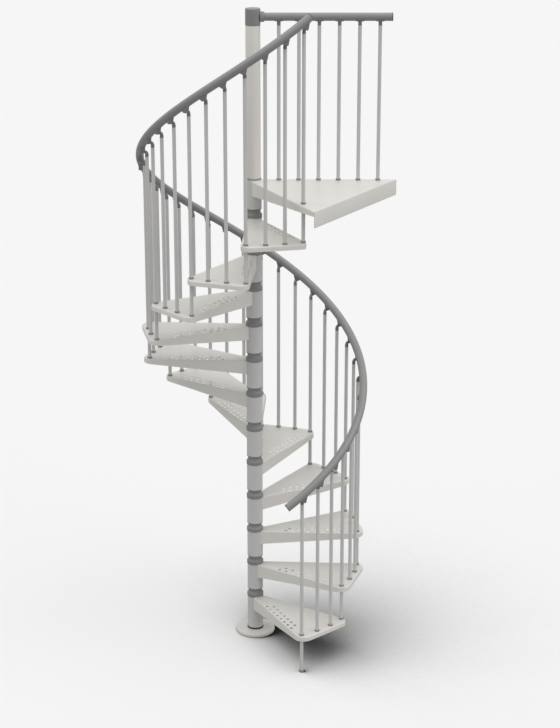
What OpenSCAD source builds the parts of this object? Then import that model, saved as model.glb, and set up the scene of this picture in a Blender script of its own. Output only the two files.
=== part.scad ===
// Spiral staircase with folded steel treads stacked on a centre pole.
// The origin is the centre of the base flange's underside, on the floor, with +Z up.
// The stair climbs anticlockwise seen from above. Sizes are millimetres and degrees.

/* [Stair] */
// Number of treads below the landing
tread_count = 12; // [6:1:14]
// Height from one tread to the next
rise = 200; // [180:1:230]
// Height of the first tread above the floor
first_rise = 220; // [180:1:260]
// Angle that each tread turns
tread_angle = 30; // [24:0.5:36]
// Direction of the first baluster, anticlockwise from +X
start_angle = -63; // [-180:1:180]

/* [Column] */
// Diameter of the pole inside the column
pole_d = 60; // [40:1:64]
// Outside diameter of the sleeve on each tread
sleeve_d = 86; // [80:1:110]
// Wall of the sleeves
sleeve_wall = 4; // [2:0.5:6]
// Height that a sleeve stands above its tread
sleeve_over = 6; // [2:1:15]
// Height of each spacer ring
ring_h = 44; // [30:1:60]
// Overhang of a spacer ring's lower lip past the sleeve
ring_lip = 2; // [0:0.5:6]
// Depth of a spacer ring's waist inside the sleeve's surface
ring_waist = 4; // [1:0.5:6]
// Diameter of the base flange
base_d = 218; // [160:1:320]
// Thickness of the base flange
base_t = 20; // [10:1:30]
// Radius of the base flange's upper edge
base_edge_r = 5; // [1:0.5:8]
// Thickness of the seal rings under the column and under the top post
seal_t = 4; // [2:0.5:8]
// Overhang of the seal rings past the tube that stands on them
seal_lip = 2; // [0.5:0.5:6]

/* [Treads] */
// Thickness of the folded sheet
sheet_t = 3; // [2:0.5:5]
// Margin of a tread's front edge beyond the line of its corner baluster
tread_margin = 27; // [20:1:36]
// Margin of a tread's rear edge beyond the line of the next corner baluster
rear_margin = 16; // [14:1:36]
// Margin of a tread's outer end beyond the baluster circle
tread_end = 21; // [16:1:40]
// Radius of the outer corner at the front edge
front_corner_r = 54; // [10:1:60]
// Radius of the outer corner at the rear edge
rear_corner_r = 40; // [10:1:44]
// Depth of the folded sides at the sleeve
side_inner_h = 78; // [50:1:110]
// Depth of the folded sides at the outer end
side_outer_h = 26; // [20:1:60]

/* [Perforation] */
// Diameter of the grip holes along a tread's two edges
hole_d = 15; // [8:0.5:20]
// Distance between the holes of one row
hole_pitch = 42.3; // [30:0.1:60]
// Number of holes in the first row
hole_count = 8; // [2:1:8]
// Distance of the first hole from the pole's axis
hole_start = 171; // [140:1:220]
// Distance of the first row from a tread's edge
hole_edge = 17; // [14:0.5:25]
// Distance between the two rows at an edge
hole_row = 32; // [22:0.5:40]

/* [Balusters] */
// Radius of the circle that the balusters stand on
baluster_circle_r = 570; // [520:1:750]
// Balusters to each tread
bars_per_tread = 3; // [2:1:4]
// Diameter of a baluster
baluster_d = 19; // [14:0.5:21]
// Diameter of the ferrule at a baluster's foot
ferrule_d = 26; // [22:0.5:32]
// Height of the ferrule
ferrule_h = 9; // [5:0.5:15]
// Floor of the cup under the first baluster
foot_t = 3; // [2:0.5:6]
// Height of the cup under the first baluster
foot_h = 12; // [8:0.5:20]

/* [Handrail] */
// Diameter of the handrail
rail_d = 42; // [34:0.5:50]
// Distance of the handrail outside the baluster circle
rail_out = 23; // [20:0.5:40]
// Height of the handrail's centre above the first tread at the first baluster
rail_height_low = 835; // [750:1:1100]
// Height of the handrail's centre above the landing at the last baluster
rail_height_top = 920; // [750:1:1100]
// Angle that the handrail reaches past the first baluster
rail_lead = 9; // [4:0.5:12]
// Angle that the handrail reaches past the last baluster
rail_tail = 2; // [1.9:0.1:8]
// Length of the caps on the rails' ends
end_cap_l = 6; // [4:1:20]
// Overhang of the end caps around the rail
end_cap_lip = 0.8; // [0.2:0.1:3]

/* [Clips] */
// Diameter of the neck on a baluster's top
clip_d = 19; // [18:0.5:24]
// Height of the neck on a stair baluster's top
clip_h = 15; // [10:1:40]
// Bevel on the neck's top edge
clip_bevel = 0.5; // [0.25:0.25:1.5]
// Diameter of the elbow from the neck to the saddle block
elbow_d = 16.5; // [12:0.5:17]
// Radius of the bend in the elbow
elbow_bend_r = 13; // [10:1:18]
// Height of the handrail's underside above the elbow's end
elbow_clear = 7; // [0:0.5:15]
// Length of the saddle block, downhill from the baluster
saddle_back = 30; // [12:1:34]
// Length of the saddle block under the handrail, uphill from the baluster
saddle_ahead = 18; // [12:1:22]
// Length of the saddle block's underside, uphill from the baluster
saddle_toe = 9.5; // [9:0.5:12]
// Width of the saddle block across the handrail
saddle_w = 24; // [20:1:30]
// Thickness of the saddle under the landing rail
saddle_t = 3.2; // [2:0.1:6]
// Angle of the landing rail's girth that its saddle covers
saddle_angle = 110; // [60:5:150]

/* [Landing] */
// Angle between the landing's front and back edges
landing_angle = 63; // [50:1:80]
// Length of the front edge from the pole's axis
landing_front_l = 742; // [680:1:900]
// Length of the back edge from the pole's axis
landing_back_l = 754; // [740:1:900]
// Margin of the back edge beyond the landing balusters
landing_margin = 20; // [14:1:36]
// Depth of the fascia on the landing's outer edge
fascia_h = 83; // [60:1:150]
// Thickness of the fascia
fascia_t = 5; // [3:0.5:10]
// Balusters along the back edge
landing_bars = 6; // [2:1:6]
// Distance of the first landing baluster from the pole's axis
landing_bar_start = 133; // [100:1:160]
// Distance between landing balusters
landing_bar_pitch = 104; // [80:1:110]
// Height of the landing rail's centre above the landing
landing_rail_height = 855; // [750:1:1100]
// Length of the landing rail from the pole's axis
landing_rail_l = 718; // [700:1:850]
// Height of the neck on a landing baluster's top
landing_clip_h = 22; // [10:1:40]
// Length of the saddle under the landing rail
landing_saddle_l = 44; // [24:1:70]

/* [Top post] */
// Outside diameter of the top post
post_d = 77; // [70:1:90]
// Wall of the top post
post_wall = 3; // [2:0.5:5]
// Overhang of the post cap around the post
cap_lip = 1; // [0.5:0.5:4]
// Height of the post cap
cap_h = 86; // [70:1:120]
// Chamfer on the post cap's top edge
cap_chamfer = 2; // [0.5:0.5:5]
// Diameter of the collar where the landing rail meets the cap
collar_d = 53; // [51:1:65]
// Length of that collar
collar_l = 19; // [10:1:30]

/* [Fits] */
// Clearance between a piece and the seat that it slides into
fit_gap = 0.3; // [0.1:0.05:0.5]

/* [Hidden] */
paint = "#d8d4ce";
plastic = "#747474";
dark_plastic = "#5a5a58";
$fn = 48;

sleeve_r = sleeve_d / 2;
half_angle = tread_angle / 2;
bar_angle = tread_angle / bars_per_tread;
last_bar = tread_count * bars_per_tread;
last_angle = start_angle + tread_count * tread_angle;
tread_out = baluster_circle_r + tread_end;
landing_k = tread_count + 1;

rail_r = rail_d / 2;
rail_circle_r = baluster_circle_r + rail_out;
rail_climb = (tread_top(landing_k) - first_rise + rail_height_top - rail_height_low) / (tread_count * tread_angle);
rail_slope = atan(rail_climb * 180 / PI / rail_circle_r);
// Radius of the circle that follows the helix best, and its rise over half a saddle block
rail_bend_r = rail_circle_r / pow(cos(rail_slope), 2);
saddle_sag = pow((saddle_back + saddle_ahead) / 2 / cos(rail_slope), 2) / (2 * rail_bend_r);
saddle_turn = (saddle_ahead - saddle_back) / 2 / rail_circle_r * 180 / PI;
rail_from = start_angle - rail_lead;
// The handrail runs on until the last saddle block is carried in full.
rail_to = last_angle + max(rail_tail, (saddle_ahead + 1) / rail_circle_r * 180 / PI);
rail_sides = 16;
rail_step = 2.5;

// Depth that the elbow is rooted in the neck, and height of its end over the neck's foot
elbow_sink = 1.5;
elbow_h = clip_h - elbow_sink + elbow_bend_r;
// Height of the handrail's centre over the elbow's end
rail_over = rail_r / cos(rail_slope) + elbow_d / 2 + elbow_clear;
clip_drop = elbow_h + rail_over;

post_foot = tread_top(landing_k) + sleeve_over + seal_t;
landing_rail_z = tread_top(landing_k) + landing_rail_height;
cap_foot = landing_rail_z - cap_h / 2;
cap_r = post_d / 2 + cap_lip;
back_angle = last_angle + landing_angle;
landing_clip_foot = landing_rail_z - rail_r - fit_gap - landing_clip_h;

two_digits = function (n) n < 10 ? str("0", n) : str(n);
tread_names = [for (k = [1 : tread_count]) str("tread_", two_digits(k))];
baluster_names = [for (k = [1 : tread_count]) str("balusters_", two_digits(k))];

function tread_top(k) = first_rise + (k - 1) * rise;

function sleeve_foot(k) = k == 1 ? base_t + seal_t : tread_top(k - 1) + sleeve_over + ring_h;

function bar_direction(j) = start_angle + j * bar_angle;

// A corner baluster stands on the tread below and passes through the tread that it serves.
function is_corner(j) = j % bars_per_tread == 0;
function bar_tread(j) = floor(j / bars_per_tread) + 1;
function bar_foot(j) = j == 0 ? foot_t : tread_top(is_corner(j) ? bar_tread(j) - 1 : bar_tread(j));

function rail_z(direction) = first_rise + rail_height_low + (direction - start_angle) * rail_climb;

function clip_foot(j) = rail_z(bar_direction(j)) - clip_drop;

function arc(centre, r, from, to, steps) =
    [for (i = [0 : steps]) centre + r * [cos(from + (to - from) * i / steps), sin(from + (to - from) * i / steps)]];

function edge_margin(side) = side < 0 ? tread_margin : rear_margin;

// Point of a tread's front (side -1) or rear (side 1) edge, with the edge moved in by inset.
function edge_point(along, side, inset) =
    along * [cos(half_angle), side * sin(half_angle)]
    + (edge_margin(side) - inset) * [-sin(half_angle), side * cos(half_angle)];

// Centre of the rounded corner between that edge and the outer end.
function corner_centre(r, side) =
    let (along = (tread_out - r + (edge_margin(side) - r) * sin(half_angle)) / cos(half_angle))
    edge_point(along, side, r);

function tread_outline(inset) = concat(
    [edge_point(0, -1, inset)],
    arc(corner_centre(front_corner_r, -1), front_corner_r - inset, -90 - half_angle, 0, 10),
    arc(corner_centre(rear_corner_r, 1), rear_corner_r - inset, 0, 90 + half_angle, 8),
    [edge_point(0, 1, inset)]
);

// Cuts a prism to a depth that falls from the sleeve to the outer end in the given direction.
module tapered(out, direction) {
    intersection() {
        translate([0, 0, -side_inner_h])
            linear_extrude(side_inner_h)
                children();
        rotate([90, 0, direction])
            linear_extrude(4 * out, center = true)
                polygon([
                    [-out, 0],
                    [out, 0],
                    [out, -side_outer_h],
                    [sleeve_r, -side_inner_h],
                    [-out, -side_inner_h]
                ]);
    }
}

module sleeve(k) {
    foot = sleeve_foot(k) - tread_top(k);
    translate([0, 0, foot])
        cylinder(r = sleeve_r, h = sleeve_over - foot);
}

module sleeve_bore(k) {
    foot = sleeve_foot(k) - tread_top(k);
    translate([0, 0, foot - 1])
        cylinder(r = sleeve_r - sleeve_wall, h = sleeve_over - foot + 2);
}

module grip_holes() {
    for (side = [-1, 1])
        for (row = [0, 1])
            for (i = [0 : hole_count - 1 - row]) {
                along = hole_start + (i + row / 2) * hole_pitch;
                translate(concat(edge_point(along, side, hole_edge + row * hole_row), [-2 * sheet_t]))
                    cylinder(d = hole_d, h = 3 * sheet_t);
            }
}

module bar_hole(direction) {
    rotate([0, 0, direction])
        translate([baluster_circle_r, 0, -2 * side_outer_h])
            cylinder(d = baluster_d + 2 * fit_gap, h = 3 * side_outer_h);
}

module tread(k) {
    color(paint)
        translate([0, 0, tread_top(k)])
            rotate([0, 0, start_angle + (k - 0.5) * tread_angle])
                difference() {
                    union() {
                        difference() {
                            tapered(tread_out, 0)
                                polygon(tread_outline(0));
                            translate([0, 0, -sheet_t - side_inner_h])
                                linear_extrude(side_inner_h)
                                    polygon(tread_outline(sheet_t));
                        }
                        sleeve(k);
                    }
                    sleeve_bore(k);
                    grip_holes();
                    bar_hole(-half_angle);
                }
}

module base_flange() {
    color(paint)
        rotate_extrude()
            polygon(concat(
                [[0, 0], [base_d / 2, 0]],
                arc([base_d / 2 - base_edge_r, base_t - base_edge_r], base_edge_r, 0, 90, 6),
                [[0, base_t]]
            ));
}

module seal(foot, tube_d) {
    color(dark_plastic)
        translate([0, 0, foot])
            difference() {
                cylinder(d = tube_d + 2 * seal_lip, h = seal_t);
                translate([0, 0, -1])
                    cylinder(d = pole_d + 2 * fit_gap, h = seal_t + 2);
            }
}

module base_seal() {
    seal(base_t, sleeve_d);
}

module post_seal() {
    seal(tread_top(landing_k) + sleeve_over, post_d);
}

module centre_pole() {
    color("silver")
        translate([0, 0, base_t])
            cylinder(d = pole_d, h = post_foot - base_t);
}

// A spool with a wide lower lip, a narrower waist and an upper lip that carries the next sleeve.
module spacer_ring() {
    lip_r = sleeve_r + ring_lip;
    waist_r = sleeve_r - ring_waist;
    rotate_extrude()
        polygon([
            [pole_d / 2 + fit_gap, 0],
            [lip_r, 0],
            [lip_r, 0.36 * ring_h],
            [waist_r, 0.56 * ring_h],
            [waist_r, 0.86 * ring_h],
            [sleeve_r - 1, 0.92 * ring_h],
            [sleeve_r - 1, ring_h],
            [pole_d / 2 + fit_gap, ring_h]
        ]);
}

module spacer_rings() {
    color(plastic)
        for (k = [1 : tread_count])
            translate([0, 0, tread_top(k) + sleeve_over])
                spacer_ring();
}

// The landing is drawn with local X along its front balusters' line and turned into place.
landing_front = [landing_front_l, -tread_margin];
landing_back = landing_back_l * [cos(landing_angle), sin(landing_angle)]
    + landing_margin * [-sin(landing_angle), cos(landing_angle)];
landing_normal_angle = atan2(landing_back.y - landing_front.y, landing_back.x - landing_front.x) - 90;
landing_normal = [cos(landing_normal_angle), sin(landing_normal_angle)];
landing_out = landing_front * landing_normal - fascia_t;

function landing_corner(direction, side, margin, out) =
    let (
        along = [cos(direction), sin(direction)],
        across = side * [-sin(direction), cos(direction)],
        reach = (out - margin * (across * landing_normal)) / (along * landing_normal)
    )
    reach * along + margin * across;

function landing_outline(inset) = [
    [0, inset - tread_margin],
    landing_corner(0, -1, tread_margin - inset, landing_out - inset),
    landing_corner(landing_angle, 1, landing_margin - inset, landing_out - inset),
    (landing_margin - inset) * [-sin(landing_angle), cos(landing_angle)]
];

module landing_plate() {
    color(paint)
        translate([0, 0, tread_top(landing_k)])
            rotate([0, 0, last_angle])
                difference() {
                    union() {
                        difference() {
                            tapered(landing_out, landing_normal_angle)
                                polygon(landing_outline(0));
                            translate([0, 0, -sheet_t - side_inner_h])
                                linear_extrude(side_inner_h)
                                    polygon(landing_outline(sheet_t));
                        }
                        sleeve(landing_k);
                    }
                    sleeve_bore(landing_k);
                    bar_hole(0);
                }
}

module landing_fascia() {
    front = landing_corner(0, -1, tread_margin, landing_out);
    back = landing_corner(landing_angle, 1, landing_margin, landing_out);
    color(paint)
        translate([0, 0, tread_top(landing_k) - fascia_h])
            rotate([0, 0, last_angle])
                translate(concat(front, [0]))
                    rotate([0, 0, landing_normal_angle])
                        cube([fascia_t, norm(back - front), fascia_h]);
}

module top_post() {
    color(paint)
        translate([0, 0, post_foot])
            difference() {
                cylinder(d = post_d, h = cap_foot - post_foot);
                translate([0, 0, -1])
                    cylinder(d = post_d - 2 * post_wall, h = cap_foot - post_foot + 2);
            }
}

module post_cap() {
    color(dark_plastic)
        translate([0, 0, cap_foot])
            rotate_extrude()
                polygon([
                    [0, 0],
                    [cap_r, 0],
                    [cap_r, cap_h - cap_chamfer],
                    [cap_r - cap_chamfer, cap_h],
                    [0, cap_h]
                ]);
}

module baluster(j) {
    rotate([0, 0, bar_direction(j)])
        translate([baluster_circle_r, 0, bar_foot(j)])
            cylinder(d = baluster_d, h = clip_foot(j) - bar_foot(j));
}

module balusters(k) {
    color(paint)
        for (i = [0 : bars_per_tread - 1])
            baluster((k - 1) * bars_per_tread + i);
}

module landing_front_baluster() {
    color(paint)
        baluster(last_bar);
}

module at_landing_bars() {
    rotate([0, 0, back_angle])
        for (i = [0 : landing_bars - 1])
            translate([landing_bar_start + i * landing_bar_pitch, 0, 0])
                children();
}

module landing_balusters() {
    color(paint)
        at_landing_bars()
            translate([0, 0, tread_top(landing_k)])
                cylinder(d = baluster_d, h = landing_clip_foot - tread_top(landing_k));
}

module baluster_foot() {
    color(dark_plastic)
        rotate([0, 0, start_angle])
            translate([baluster_circle_r, 0, 0])
                difference() {
                    cylinder(d = ferrule_d, h = foot_h);
                    translate([0, 0, foot_t])
                        cylinder(d = baluster_d + 2 * fit_gap, h = foot_h);
                }
}

// A ring with a bevelled upper edge around a baluster's foot.
module ferrule() {
    bevel = (ferrule_d - baluster_d) / 8;
    bore_r = baluster_d / 2 + fit_gap;
    rotate_extrude()
        polygon([
            [bore_r, 0],
            [ferrule_d / 2, 0],
            [ferrule_d / 2, ferrule_h - bevel],
            [ferrule_d / 2 - bevel, ferrule_h],
            [bore_r, ferrule_h]
        ]);
}

module ferrule_at(j, z) {
    rotate([0, 0, bar_direction(j)])
        translate([baluster_circle_r, 0, z])
            ferrule();
}

module ferrules() {
    color(dark_plastic) {
        for (j = [0 : last_bar])
            ferrule_at(j, tread_top(bar_tread(j)));
        for (k = [1 : tread_count])
            ferrule_at(k * bars_per_tread, tread_top(k));
    }
}

module landing_ferrules() {
    color(dark_plastic)
        at_landing_bars()
            translate([0, 0, tread_top(landing_k)])
                ferrule();
}

// Point on the handrail's surface: girth runs around the rail, square to its helix.
function rail_point(direction, girth) =
    let (
        outward = [cos(direction), sin(direction), 0],
        ahead = [-sin(direction), cos(direction), 0],
        lift = cos(rail_slope) * [0, 0, 1] - sin(rail_slope) * ahead
    )
    rail_circle_r * outward + [0, 0, rail_z(direction)] + rail_r * (cos(girth) * outward + sin(girth) * lift);

module handrail() {
    rings = ceil((rail_to - rail_from) / rail_step);
    points = [
        for (i = [0 : rings])
            for (s = [0 : rail_sides - 1])
                rail_point(rail_from + (rail_to - rail_from) * i / rings, s * 360 / rail_sides)
    ];
    corner = function (i, s) i * rail_sides + s % rail_sides;
    skin = [
        for (i = [0 : rings - 1])
            for (s = [0 : rail_sides - 1])
                for (half = [0, 1])
                    half == 0
                        ? [corner(i, s), corner(i, s + 1), corner(i + 1, s + 1)]
                        : [corner(i, s), corner(i + 1, s + 1), corner(i + 1, s)]
    ];
    low_end = [for (s = [rail_sides - 1 : -1 : 0]) corner(0, s)];
    top_end = [for (s = [0 : rail_sides - 1]) corner(rings, s)];
    color(plastic)
        polyhedron(points = points, faces = concat(skin, [low_end, top_end]), convexity = 10);
}

// Sector of a disc, open towards the rail, that a saddle is swept from.
module saddle_profile(middle) {
    outer = rail_r + fit_gap + saddle_t;
    half = saddle_angle / 2;
    intersection() {
        circle(r = outer);
        polygon(concat([[0, 0]], arc([0, 0], 2 * outer, middle - half, middle + half, 4)));
    }
}

// Straight bore that a saddle block is hollowed with, shared out over the handrail's curve.
module rail_bore() {
    translate([-baluster_circle_r, 0, clip_drop + saddle_turn * rail_climb])
        rotate([0, 0, saddle_turn])
            translate([rail_circle_r - saddle_sag / 2, 0, 0])
                rotate([90 + rail_slope, 0, 0])
                    cylinder(r = rail_r + fit_gap, h = 4 * (saddle_back + saddle_ahead), center = true);
}

module clip_neck() {
    rotate_extrude()
        polygon([
            [0, 0],
            [clip_d / 2, 0],
            [clip_d / 2, clip_h - clip_bevel],
            [clip_d / 2 - clip_bevel, clip_h],
            [0, clip_h]
        ]);
}

// The elbow rises from the neck and bends outwards into the saddle block.
module clip_elbow() {
    translate([0, 0, clip_h - elbow_sink])
        rotate([90, 0, 0])
            translate([elbow_bend_r, 0, 0])
                rotate([0, 0, 90])
                    rotate_extrude(angle = 90)
                        translate([elbow_bend_r, 0])
                            circle(d = elbow_d);
}

// A wedge with a level underside and a leaning uphill end fills the space below the sloping handrail.
module saddle_block() {
    low = elbow_h - elbow_d / 2 - 1;
    translate([rail_out + saddle_w / 2, 0, 0])
        rotate([90, 0, -90])
            linear_extrude(saddle_w)
                polygon([
                    [saddle_back, low],
                    [saddle_back, clip_drop - saddle_back * tan(rail_slope)],
                    [-saddle_ahead, clip_drop + saddle_ahead * tan(rail_slope)],
                    [-saddle_toe, low]
                ]);
}

module handrail_clip() {
    difference() {
        union() {
            clip_neck();
            clip_elbow();
            saddle_block();
        }
        rail_bore();
    }
}

module handrail_clips() {
    color(dark_plastic)
        for (j = [0 : last_bar])
            rotate([0, 0, bar_direction(j)])
                translate([baluster_circle_r, 0, clip_foot(j)])
                    handrail_clip();
}

module along_back(length) {
    rotate([90, 0, 90])
        linear_extrude(length)
            children();
}

module landing_rail() {
    color(plastic)
        translate([0, 0, landing_rail_z])
            rotate([0, 0, back_angle])
                translate([cap_r + fit_gap, 0, 0])
                    along_back(landing_rail_l - end_cap_l - cap_r - fit_gap)
                        circle(d = rail_d);
}

module landing_rail_collar() {
    color(plastic)
        translate([0, 0, landing_rail_z])
            rotate([0, 0, back_angle])
                difference() {
                    along_back(cap_r + collar_l)
                        circle(d = collar_d);
                    along_back(cap_r + collar_l + 1)
                        circle(d = rail_d + 2 * fit_gap);
                    cylinder(r = cap_r + fit_gap, h = 2 * cap_h, center = true);
                }
}

module landing_rail_clips() {
    color(dark_plastic)
        at_landing_bars()
            difference() {
                union() {
                    translate([0, 0, landing_clip_foot])
                        cylinder(d = clip_d, h = landing_clip_h + rail_r);
                    translate([-landing_saddle_l / 2, 0, landing_rail_z])
                        along_back(landing_saddle_l)
                            saddle_profile(-90);
                }
                translate([-landing_saddle_l, 0, landing_rail_z])
                    along_back(2 * landing_saddle_l)
                        circle(r = rail_r + fit_gap);
            }
}

module end_cap() {
    cylinder(d = rail_d + 2 * end_cap_lip, h = end_cap_l);
}

module handrail_end_caps() {
    color(dark_plastic) {
        rotate([0, 0, rail_from])
            translate([rail_circle_r, 0, rail_z(rail_from)])
                rotate([90 + rail_slope, 0, 0])
                    end_cap();
        rotate([0, 0, rail_to])
            translate([rail_circle_r, 0, rail_z(rail_to)])
                rotate([rail_slope - 90, 0, 0])
                    end_cap();
    }
}

module landing_rail_end_cap() {
    color(dark_plastic)
        rotate([0, 0, back_angle])
            translate([landing_rail_l - end_cap_l, 0, landing_rail_z])
                rotate([0, 90, 0])
                    end_cap();
}

base_flange();
base_seal();
centre_pole();
spacer_rings();
for (k = [1 : tread_count])
    tread(k);
landing_plate();
landing_fascia();
post_seal();
top_post();
post_cap();
for (k = [1 : tread_count])
    balusters(k);
landing_front_baluster();
landing_balusters();
baluster_foot();
ferrules();
landing_ferrules();
handrail();
handrail_clips();
handrail_end_caps();
landing_rail();
landing_rail_collar();
landing_rail_clips();
landing_rail_end_cap();
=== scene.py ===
# %% [markdown]
# # A kit-built spiral staircase
# Twelve folded steel steps are threaded on a centre column, with grey plastic spacers between their sleeves.
# Round bars stand on the steps and carry a helical handrail, and a small railed landing closes the top.
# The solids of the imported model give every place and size, and each piece here is made in that same frame, in metres.

# %% Load the frame
from math import atan, cos, degrees, pi, radians, sin, sqrt, tan

import bmesh
import bpy
from mathutils import Matrix, Vector


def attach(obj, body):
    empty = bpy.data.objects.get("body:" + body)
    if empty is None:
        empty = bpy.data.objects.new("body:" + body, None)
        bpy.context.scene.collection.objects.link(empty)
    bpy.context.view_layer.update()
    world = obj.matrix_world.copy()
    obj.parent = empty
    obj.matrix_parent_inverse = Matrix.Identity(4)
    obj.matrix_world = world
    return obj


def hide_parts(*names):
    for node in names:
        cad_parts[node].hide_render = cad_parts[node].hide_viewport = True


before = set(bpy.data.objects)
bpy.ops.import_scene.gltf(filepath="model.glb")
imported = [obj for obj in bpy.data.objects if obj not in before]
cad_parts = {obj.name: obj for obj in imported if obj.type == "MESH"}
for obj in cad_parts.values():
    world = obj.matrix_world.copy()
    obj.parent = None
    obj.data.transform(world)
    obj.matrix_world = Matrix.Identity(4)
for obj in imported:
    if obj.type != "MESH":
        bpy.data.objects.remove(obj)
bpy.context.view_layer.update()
scene = bpy.context.scene

# %% [markdown]
# ## Camera
# The picture is taken from in front, from above the landing's height, with upright lines upright.
# A long lens from some way back, tilted down, comes closest to that without a shift of the lens.
# A shift would keep the lines upright, but it would also push the other views off their centre.

# %% Camera
LOOK_DOWN = 19.03
LOOK_LEFT = 0.279
camera_data = bpy.data.cameras.new("picture_camera")
camera_data.sensor_width = 36
camera_data.lens = 96.4
camera_data.clip_end = 200
camera = bpy.data.objects.new("picture_camera", camera_data)
camera.location = (0.188, -10.0, 5.046)
camera.rotation_euler = (radians(90 - LOOK_DOWN), 0, radians(LOOK_LEFT))
scene.collection.objects.link(camera)
bpy.context.scene.camera = camera
scene.view_settings.view_transform = "Standard"
print("camera", round(camera.location.length, 2), "m from the foot of the stair")

# %% [markdown]
# ## Building trees of nodes
# Finishes and Geometry Nodes are both trees of nodes.
# One small function puts in a node, sets its options, and wires or fills its inputs, so that a tree reads as a list.
# Another does the sums.

# %% Node helper
def put(tree, kind, inputs=None, **options):
    """Adds a node; an input's value is a number, or an output socket that is wired in."""
    node = tree.nodes.new(kind)
    for name, value in options.items():
        setattr(node, name, value)
    for name, value in (inputs or {}).items():
        if isinstance(value, bpy.types.NodeSocket):
            tree.links.new(value, node.inputs[name])
        else:
            node.inputs[name].default_value = value
    return node


def reckon(tree, operation, a, b):
    """The result of a sum, from a Math node."""
    return put(tree, "ShaderNodeMath", {0: a, 1: b}, operation=operation).outputs[0]


# %% [markdown]
# ## Backdrop and lamps
# Most of the light comes evenly from a white tent, and three soft lamps add to it: above, right and left.
# The camera, and whatever reflects, sees the tent as a plain pale backdrop, which has its own brightness.

# %% Backdrop
BACKDROP_WHITE = 0.925
scene.world = bpy.data.worlds.new("studio")
scene.world.use_nodes = True
sky = scene.world.node_tree
sky.nodes.clear()
ray = put(sky, "ShaderNodeLightPath")
soft = put(sky, "ShaderNodeBackground", {"Color": (1, 1, 1, 1), "Strength": 0.58})
white = put(sky, "ShaderNodeBackground", {"Color": (BACKDROP_WHITE,) * 3 + (1,), "Strength": 1})
seen = reckon(sky, "MAXIMUM", ray.outputs["Is Camera Ray"], ray.outputs["Is Glossy Ray"])
shown = put(sky, "ShaderNodeMixShader", {0: seen, 1: soft.outputs[0], 2: white.outputs[0]})
put(sky, "ShaderNodeOutputWorld", {"Surface": shown.outputs[0]})
print("backdrop of", len(sky.nodes), "nodes")

# %% Lamps
LAMP_SPREAD = 60


def soft_lamp(name, azimuth, elevation, energy):
    """A wide lamp far away, in a direction given by its azimuth and elevation in degrees."""
    lamp = bpy.data.objects.new(name, bpy.data.lights.new(name, "SUN"))
    lamp.data.energy = energy
    lamp.data.angle = radians(LAMP_SPREAD)
    a, e = radians(azimuth), radians(elevation)
    lamp.rotation_euler = Vector((cos(e) * cos(a), cos(e) * sin(a), sin(e))).to_track_quat("Z", "Y").to_euler()
    scene.collection.objects.link(lamp)


soft_lamp("overhead_lamp", -90, 86, 0.62)
soft_lamp("right_lamp", -20, 40, 0.74)
soft_lamp("left_lamp", -165, 45, 0.42)

# %% [markdown]
# ## Floor
# The stair stands on a seamless pale studio floor, with a soft dark shadow under the lowest steps.
# The floor's own tone darkens where the stair covers it, because little of the wide soft light gets there.
# An Ambient Occlusion node measures that cover, leaned to one side as the shadow is.
# The floor throws little light back, so that the steps' sides stay darker than their tops.

# %% Floor
FLOOR_HALF = 60
floor_mesh = bpy.data.meshes.new("studio_floor")
corners = [(x * FLOOR_HALF, y * FLOOR_HALF, 0) for x, y in ((-1, -1), (1, -1), (1, 1), (-1, 1))]
floor_mesh.from_pydata(corners, [], [(0, 1, 2, 3)])
studio_floor = bpy.data.objects.new("studio_floor", floor_mesh)
scene.collection.objects.link(studio_floor)
paper = bpy.data.materials.new("studio_paper")
paper.use_nodes = True
tree = paper.node_tree
tree.nodes.clear()
lean = put(tree, "ShaderNodeCombineXYZ", {"X": -0.52, "Y": -0.27, "Z": 0.81})
cover = put(tree, "ShaderNodeAmbientOcclusion", {"Distance": 3.2, "Normal": lean.outputs[0]}, samples=32)
depth = put(tree, "ShaderNodeMapRange", {"Value": cover.outputs["AO"], "From Min": 0.47, "From Max": 0.905,
                                         "To Min": 0.02, "To Max": 0.9195})
tone = put(tree, "ShaderNodeCombineColor", {i: depth.outputs[0] for i in range(3)})
matt = put(tree, "ShaderNodeBsdfDiffuse", {"Color": tone.outputs[0]})
white = put(tree, "ShaderNodeEmission", {"Color": tone.outputs[0], "Strength": 0.98})
bright = put(tree, "ShaderNodeMixShader", {0: 0.45, 1: matt.outputs[0], 2: white.outputs[0]})
dull = put(tree, "ShaderNodeBsdfDiffuse", {"Color": (0.45, 0.45, 0.45, 1)})
ray = put(tree, "ShaderNodeLightPath")
paper_seen = put(tree, "ShaderNodeMixShader", {
    0: ray.outputs["Is Camera Ray"], 1: dull.outputs[0], 2: bright.outputs[0]})
put(tree, "ShaderNodeOutputMaterial", {"Surface": paper_seen.outputs[0]})
floor_mesh.materials.append(paper)
print("floor", 2 * FLOOR_HALF, "m wide")

# %% [markdown]
# ## Finishes
# The sheet steel is powder coated in a warm white: satin, with a fine orange-peel skin and a nearly even tone.
# The tubes, which are coated apart from it, are a shade greyer.
# The plastic pieces are moulded in greys, with the fine even grain of an eroded mould.
# All of it is made from noise on Object coordinates, so nothing slides when the piece or the camera moves.

# %% Finishes
def shades(tree, value, places, colours):
    """A ramp between two colours, at two places in a value's range."""
    ramp = put(tree, "ShaderNodeValToRGB", {"Fac": value})
    for stop, position, colour in zip(ramp.color_ramp.elements, places, colours):
        stop.position = position
        stop.color = (*colour, 1)
    return ramp


def wire_finish(tree, tone, gloss, relief):
    """Wires a tone, a gloss and a relief to a material's shader."""
    shader = tree.nodes["Principled BSDF"]
    tree.links.new(tone.outputs["Color"], shader.inputs["Base Color"])
    tree.links.new(gloss.outputs["Result"], shader.inputs["Roughness"])
    tree.links.new(relief.outputs["Normal"], shader.inputs["Normal"])


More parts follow.
